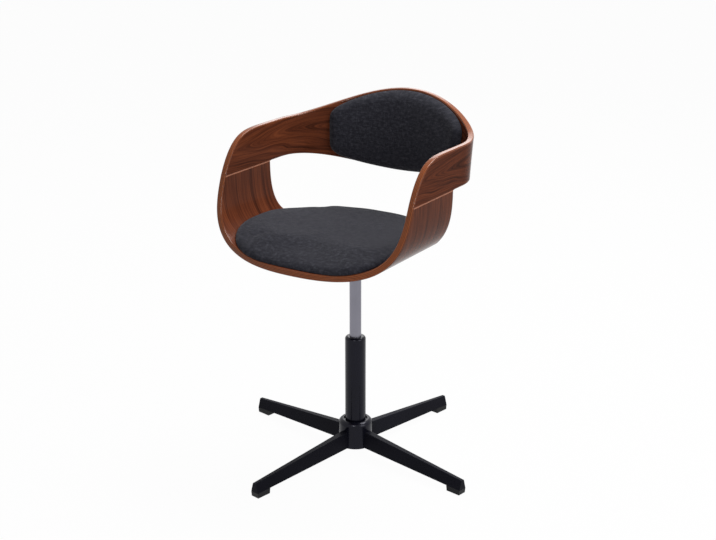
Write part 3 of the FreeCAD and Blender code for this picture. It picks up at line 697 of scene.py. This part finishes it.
def pad_mesh(name, upper, under):
    """Two nets of points that share their rim, as one closed mesh; also says which points are pinned."""
    index = np.arange(upper.shape[0] * upper.shape[1]).reshape(upper.shape[:2])
    inside = np.zeros(index.shape, bool)
    inside[1:-1, 1:-1] = True
    below = index.copy()
    below[inside] = index.size + np.arange(inside.sum())
    points = np.concatenate([upper.reshape(-1, 3), under[inside]])

    def squares(net):
        return np.stack([net[:-1, :-1], net[1:, :-1], net[1:, 1:], net[:-1, 1:]], axis=-1).reshape(-1, 4)

    mesh = bpy.data.meshes.new(name)
    mesh.from_pydata(points.tolist(), [], squares(index).tolist() + squares(below)[:, ::-1].tolist())
    mesh.update()
    made = bpy.data.objects.new(name, mesh)
    scene.collection.objects.link(made)
    return made, np.concatenate([~inside.ravel(), np.ones(inside.sum(), bool)])


# %% [markdown]
# ## Pulling the cloth tight
# The simulation runs for a few frames and is then taken off again: only the moved points are kept, so the
# pad is a plain mesh. One step of subdivision rounds it off.


# %% Cloth under pressure
cloth_settings = {"quality": 6, "mass": 0.3, "tension_stiffness": 25.0, "compression_stiffness": 25.0,
                  "shear_stiffness": 10.0, "bending_stiffness": 4.0, "shrink_min": 0.008,
                  "use_pressure": True, "vertex_group_mass": "on_board"}
evening_rounds, last_rounds = 90, 8


def coordinates(mesh):
    """A mesh's points as an array."""
    values = np.empty(len(mesh.vertices) * 3, np.float32)
    mesh.vertices.foreach_get("co", values)
    return values.reshape(-1, 3).astype(float)


def evened(mesh, moves, pinned, rounds):
    """Moves of a mesh's points, each drawn halfway to its neighbours' mean in every round.

    Pinned points don't move.
    """
    pairs = np.empty(len(mesh.edges) * 2, np.int32)
    mesh.edges.foreach_get("vertices", pairs)
    first, second = pairs.reshape(-1, 2).T
    count = np.bincount(pairs, minlength=len(moves))[:, None]
    for _ in range(rounds):
        total = np.zeros_like(moves)
        np.add.at(total, first, moves[second])
        np.add.at(total, second, moves[first])
        moves = (0.5 * moves + 0.5 * total / count) * ~pinned[:, None]
    return moves


def blown_up(piece, pinned, pressure, cap, frames=20):
    """Cloth under air pressure with some points pinned; returns the points, moved by the cap at most."""
    mesh = piece.data
    start = coordinates(mesh)
    group = piece.vertex_groups.new(name="on_board")
    group.add(np.flatnonzero(pinned).tolist(), 1.0, "REPLACE")
    modifier = piece.modifiers.new("cloth", "CLOTH")
    settings = modifier.settings
    for key, value in cloth_settings.items():
        setattr(settings, key, value)
    settings.uniform_pressure_force = pressure
    settings.effector_weights.gravity = 0.0
    modifier.collision_settings.use_collision = False
    modifier.point_cache.frame_start = 1
    modifier.point_cache.frame_end = frames
    for number in range(1, frames + 1):
        scene.frame_set(number)
    end = coordinates(piece.evaluated_get(bpy.context.evaluated_depsgraph_get()).data)
    piece.modifiers.remove(modifier)
    scene.frame_set(1)
    moves = evened(mesh, end - start, pinned, evening_rounds)
    far = np.linalg.norm(moves, axis=1, keepdims=True)
    moves *= np.minimum(1.0, cap / np.maximum(far, tiny))
    print(piece.name, "moved by up to", round(1000 * np.linalg.norm(moves, axis=1).max(), 2), "mm")
    return start + evened(mesh, moves, pinned, last_rounds)


def finish_pad(piece, points, weave):
    """Write a pad's points and its weave's map, and add its cloth and one step of subdivision."""
    mesh = piece.data
    mesh.vertices.foreach_set("co", points.astype(np.float32).ravel())
    corner_points = np.empty(len(mesh.loops), np.int32)
    mesh.loops.foreach_get("vertex_index", corner_points)
    layer = mesh.uv_layers.new(name="weave")
    layer.data.foreach_set("uv", weave[corner_points].astype(np.float32).ravel())
    mesh.polygons.foreach_set("use_smooth", np.ones(len(mesh.polygons), bool))
    mesh.materials.append(cloth)
    mesh.update()
    subdivision = piece.modifiers.new("finer", "SUBSURF")
    subdivision.levels = subdivision.render_levels = 1
    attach(piece, "seat")
    box = np.round([points.min(0), points.max(0)], 3).tolist()
    print(piece.name, "points:", len(points), "box:", box)


# %% [markdown]
# ## The seat pad
# The seat pad is a dome: full at the rear, falling slowly to a thin front edge, and lying in the dish
# of the bent seat, so its sides climb with the plywood. The rim lies on the sheet. From there the skin
# rises to the dome over a roll that is long in front and short behind.


# %% Seat pad
seat_half = 0.213
seat_middle, seat_pad_front, seat_pad_back = -0.075, 0.183, 0.224
front_roll, rear_roll, side_roll = 0.150, 0.032, 0.070
seat_rise, seat_dish, seat_lip, lip_roll = 0.0390, 0.009, 0.007, 0.010
seat_front_power, seat_rear_power = 3.6, 2.3
side_ease, front_ease, rear_ease = 0.5, 0.08, -0.04
pad_pressure, seat_cap, back_cap = 4.0, 0.005, 0.004


def sheet_height(x, inset):
    """The height of the bent seat at an inset from its outer face, by its section's own offset curve.

    It is worked out for the sheet and for the board, and lies evenly between the two.
    """
    turn = np.linspace(0.0, np.pi / 2, 2001)

    def offset(depth):
        flat, high = (section_point(turn) - depth * section_normal(turn)).T
        return np.interp(np.abs(x), flat, high)

    within = ply_thickness + pad_gap
    on_rim, on_board = offset(within), offset(board_inner + pad_gap)
    return on_rim + (on_board - on_rim) * (inset - within) / (board_inner - ply_thickness)


def seat_skins():
    """The seat pad's two skins: rim + (dome - rim)*rise, plus a small lip that fades as the rise grows.

    The dome is the sheet's lowest height + rise + dish*(x/half)^2. The rise goes from 0 at the rim to 1
    over the roll, as (1 - (1 - share)^2)^ease, with a softer ease in front.
    """
    a, b, ring = pad_net(88, 86, seat_front_power, seat_rear_power)
    reach = np.where(b < 0, seat_pad_front, seat_pad_back)
    x, y = seat_half * a * ring, seat_middle + reach * b * ring
    distance = (1 - ring) * np.hypot(seat_half * a, reach * b)
    endwise = b ** 2 / (a ** 2 + b ** 2)
    roll = np.where(b < 0, side_roll + (front_roll - side_roll) * endwise,
                    rear_roll + (side_roll - rear_roll) * (1 - endwise) ** 3)
    ease = side_ease + np.where(b < 0, front_ease, rear_ease) * endwise
    rise = (1 - (1 - np.clip(distance / roll, 0, 1)) ** 2) ** ease
    rim = sheet_height(seat_half * a, ply_thickness + pad_gap)
    dome = sheet_height(0.0, ply_thickness + pad_gap) + seat_rise + seat_dish * (x / seat_half) ** 2
    top = rim + (dome - rim) * rise + seat_lip * rolled(distance, lip_roll) * (1 - rise)
    under = sheet_height(x, under_depth(distance))
    return np.stack([x, y, np.maximum(top, under)], axis=-1), np.stack([x, y, under], axis=-1)


seat_pad, seat_pinned = pad_mesh("seat_cushion", *seat_skins())
seat_points = coordinates(seat_pad.data)
seat_points = blown_up(seat_pad, seat_pinned, pad_pressure, seat_cap)
finish_pad(seat_pad, seat_points, seat_points[:, :2])
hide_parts("seat_pad")

# %% [markdown]
# ## The back pad
# The back pad follows the band: it is bent with the band's plan, and its upper and lower edges run
# along the band's edges. So its net is laid out on the band, by length and height, and then raised
# off the band's inner face by its thickness. It sits a little to the right of the band's middle.


# %% Back pad
back_half, back_shift, back_rise, back_roll, low_roll = 0.196, 0.004, 0.0245, 0.018, 0.012
low_power, top_power = 6.0, 6.5
back_low_margin, back_top_margin = 0.0005, 0.004
back_half_height = 0.082
rim_fullness, crown_fullness = 0.74, 0.26


def back_skins():
    """The back pad's two skins on the band: depth = sheet + rise*rolled edge*(rim + crown fullness*crown)."""
    a, b, ring = pad_net(92, 36, low_power, top_power, rim_rings=6, rim_share=0.24)
    length = (back_shift + back_half * a * ring).ravel()
    low, high = band_edges(length, band_plan(length)[1])
    low, high = low + back_low_margin, high - back_top_margin
    flat = (ring * b).ravel()
    height = 0.5 * (low + high) + 0.5 * (high - low) * flat
    endwise = np.abs(a) ** np.where(b < 0, low_power, top_power)
    across = back_half * endwise + back_half_height * (1 - endwise)
    distance = ((1 - ring) * across).ravel()
    crown = (1 - flat ** 2) * (1 - (ring * a).ravel() ** 4)
    roll = np.where(b < 0, low_roll + (back_roll - low_roll) * endwise, back_roll).ravel()
    thick = back_rise * rolled(distance, roll) * (rim_fullness + crown_fullness * crown)
    under = under_depth(distance)
    upper = np.maximum(ply_thickness + pad_gap + thick, under)
    shape = (*a.shape, 3)
    return (band_place(length, height[:, None], upper[:, None]).reshape(shape),
            band_place(length, height[:, None], under[:, None]).reshape(shape))


upper_skin, under_skin = back_skins()
back_pad, back_pinned = pad_mesh("back_cushion", upper_skin, under_skin)
back_points = coordinates(back_pad.data)
back_points = blown_up(back_pad, back_pinned, pad_pressure, back_cap)
back_turn = np.arctan2(back_points[:, 0] / half_width, (back_points[:, 1] - back_start) / back_depth)
back_walk = np.sign(back_turn) * np.interp(np.abs(back_turn), plan_turns, plan_lengths)
finish_pad(back_pad, back_points, np.stack([back_walk, back_points[:, 2]], axis=1))
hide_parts("back_pad")

# %% [markdown]
# ## Metal and plastic
# The legs are powder coated: a satin black skin with a fine orange-peel texture. The hub and the column
# have a glossier coat. The gas spring's sliding tube is grey and satin, with faint turning marks round
# it. The small parts under the seat are zinc plated or plain.


# %% Coated steel and plastic
cool_shine = rgba((0.86, 0.86, 1.0))


def powder_coat(name, dark, light, grain, rough, gloss):
    """A coat with fine dimples, a little duller where it is thin."""
    f = Finish(name)
    place = f.place()
    dimples = f.noise(place, grain, 2.0)
    worn = f.noise(place, 9.0, 3.0)
    f.coat(Base_Color=f.shades(worn, dark, light), Roughness=f.between(worn, rough - 0.05, rough + 0.06),
           Specular_IOR_Level=gloss, Specular_Tint=cool_shine, Normal=f.bump(dimples, 0.0002, 0.25))
    return f.material


def moulded_plastic(name, dark, light):
    """Matt plastic with a fine grain, between two near shades."""
    f = Finish(name)
    place = f.place()
    grain = f.noise(place, 1600.0, 1.0)
    cloud = f.noise(place, 30.0, 2.0)
    f.coat(Base_Color=f.shades(cloud, dark, light), Roughness=f.between(grain, 0.30, 0.42),
           Specular_IOR_Level=0.15, Normal=f.bump(grain, 0.0001, 0.3))
    return f.material


def turned_metal(name, colour, rough, marks=1400.0):
    """Metal with fine marks round the upright axis."""
    f = Finish(name)
    place = f.place()
    x, y, z = f.parts(place)
    streak = f.noise(f.vector(f.times(x, 20.0), f.times(y, 20.0), f.times(z, marks)), 1.0, 2.0)
    cloud = f.noise(place, 14.0, 2.0)
    darker = tuple(0.86 * part for part in colour)
    f.coat(Base_Color=f.shades(cloud, darker, colour), Metallic=1.0,
           Roughness=f.between(streak, rough - 0.06, rough + 0.06), Normal=f.bump(streak, 0.00005, 0.15))
    return f.material


def soft_rubber(name):
    """Dull black rubber."""
    f = Finish(name)
    cloud = f.noise(f.place(), 60.0, 3.0)
    f.coat(Base_Color=f.shades(cloud, srgb(20, 20, 20), srgb(33, 33, 33)),
           Roughness=f.between(cloud, 0.7, 0.85))
    return f.material


def raw_board(name):
    """Pale plywood, unfinished."""
    f = Finish(name)
    x, y, z = f.parts(f.place())
    grain = f.noise(f.vector(f.times(x, 8.0), f.times(y, 160.0), f.times(z, 160.0)), 1.0, 3.0)
    f.coat(Base_Color=f.shades(grain, srgb(196, 160, 116), srgb(222, 190, 148)),
           Roughness=f.between(grain, 0.6, 0.75))
    return f.material


# %% [markdown]
# ## Finishes on the solids
# These pieces are right as solids, so they only get their finishes. The record names a material for each
# node, and each material of a piece that is kept as a solid has one finish here. The hub, the bush and the
# stand's tube look alike on the real chair, so all three take the glossier coat.

# %% Finishes on the solids
stand_coat = powder_coat("satin_black_coat", srgb(13, 13, 19), srgb(19, 19, 26), 900.0, 0.42, 0.05)
column_coat = powder_coat("gloss_black_coat", srgb(11, 11, 19), srgb(16, 16, 26), 500.0, 0.18, 0.19)
finish_of_slot = {
    "black_steel": stand_coat,
    "black_plastic": moulded_plastic("moulded_black", srgb(8, 8, 12), srgb(13, 13, 18)),
    "grey_tube": turned_metal("satin_grey_tube", srgb(133, 132, 142), 0.34),
    "bright_steel": turned_metal("polished_steel", srgb(205, 206, 208), 0.16, 900.0),
    "plain_steel": turned_metal("zinc_plate", srgb(190, 190, 192), 0.36, 500.0),
    "piston_metal": turned_metal("machined_alloy", srgb(196, 196, 200), 0.30),
    "seal_rubber": soft_rubber("dull_rubber"),
    "carrier_board": raw_board("pale_board"),
    "cage_plastic": moulded_plastic("cage_nylon", srgb(206, 200, 178), srgb(222, 217, 198))}
finished = [part for part in frame["record"]["subparts"] if part["material_slot"] in finish_of_slot]
for part in finished:
    mesh = nodes[part["node"]].data
    mesh.materials.clear()
    mesh.materials.append(finish_of_slot[part["material_slot"]])
for name in ("base_hub", "guide_bush", "stand_tube"):
    nodes[name].data.materials[0] = column_coat
print("finished nodes:", len(finished))

# %% [markdown]
# ## The studio
# A product picture is taken on white, under large soft lamps: here a strong one above, weaker ones at
# the sides and in front, and one low behind, whose light glances off the plywood's upper rim. The floor
# is pale, and to the camera and to reflections it shows as white with only a faint shadow under the
# chair. A soft world light fills the shadows.

# %% Floor and lamps
floor_half, floor_drop = 14.0, 0.0004
floor_grey, glow_share = 0.60, 0.97
fill_light, seen_light = 0.18, 1.0
white = rgba((1.0, 1.0, 1.0))
low_aim, middle_aim, high_aim = (0.0, 0.0, 0.5), (0.0, 0.0, 0.6), (0.0, 0.0, 0.8)


def seen(graph):
    """One for rays from the camera and for those mirrored or let through, nothing for the others."""
    ray = graph.node("ShaderNodeLightPath").outputs
    bent = graph.calc("MAXIMUM", ray["Is Glossy Ray"], ray["Is Transmission Ray"])
    return graph.calc("MAXIMUM", ray["Is Camera Ray"], bent)


def soft_lamp(name, place, target, size, power):
    """A square lamp at a place, turned to face a target."""
    data = bpy.data.lights.new(name, "AREA")
    data.size = size
    data.energy = power
    lamp = bpy.data.objects.new(name, data)
    lamp.location = place
    away = np.subtract(place, target)
    flat = math.hypot(away[0], away[1])
    lamp.rotation_euler = (math.atan2(flat, away[2]), 0.0, math.atan2(away[0], -away[1]))
    scene.collection.objects.link(lamp)


corners = np.array([[-1, -1, 0], [1, -1, 0], [1, 1, 0], [-1, 1, 0]]) * floor_half
floor_mesh = bpy.data.meshes.new("studio_floor")
floor_mesh.from_pydata((corners - [0, 0, floor_drop]).tolist(), [], [(0, 1, 2, 3)])
floor = bpy.data.objects.new("studio_floor", floor_mesh)
scene.collection.objects.link(floor)

paper = Finish("pale_floor")
paper.coat(Base_Color=rgba((floor_grey, floor_grey, floor_grey)), Roughness=0.9, Specular_IOR_Level=0.1)
glow = paper.node("ShaderNodeEmission", {"Color": white, "Strength": seen_light})
mixed = paper.node("ShaderNodeMixShader", {0: paper.times(seen(paper), glow_share),
                                           1: paper.shader.outputs[0], 2: glow.outputs[0]})
paper.put(paper.tree.nodes["Material Output"].inputs["Surface"], mixed.outputs[0])
floor_mesh.materials.append(paper.material)

scene.world = bpy.data.worlds.new("studio")
scene.world.use_nodes = True
sky = Graph(scene.world.node_tree)
background = sky.tree.nodes["Background"].inputs
sky.put(background["Color"], white)
sky.put(background["Strength"], sky.spread(seen(sky), 0.0, 1.0, fill_light, seen_light))

lamps = [("top_lamp", (0.5, 1.2, 3.2), low_aim, 1.8, 112.0),
         ("left_lamp", (-2.6, -1.2, 1.6), low_aim, 1.0, 0.6),
         ("front_lamp", (0.9, -2.5, 2.3), low_aim, 0.7, 24.0),
         ("right_lamp", (2.9, -0.2, 1.9), middle_aim, 1.8, 38.0),
         ("back_lamp", (-1.7, 3.2, 2.3), high_aim, 1.6, 18.0)]
for lamp in lamps:
    soft_lamp(*lamp)
print("lamps:", len(lamps))
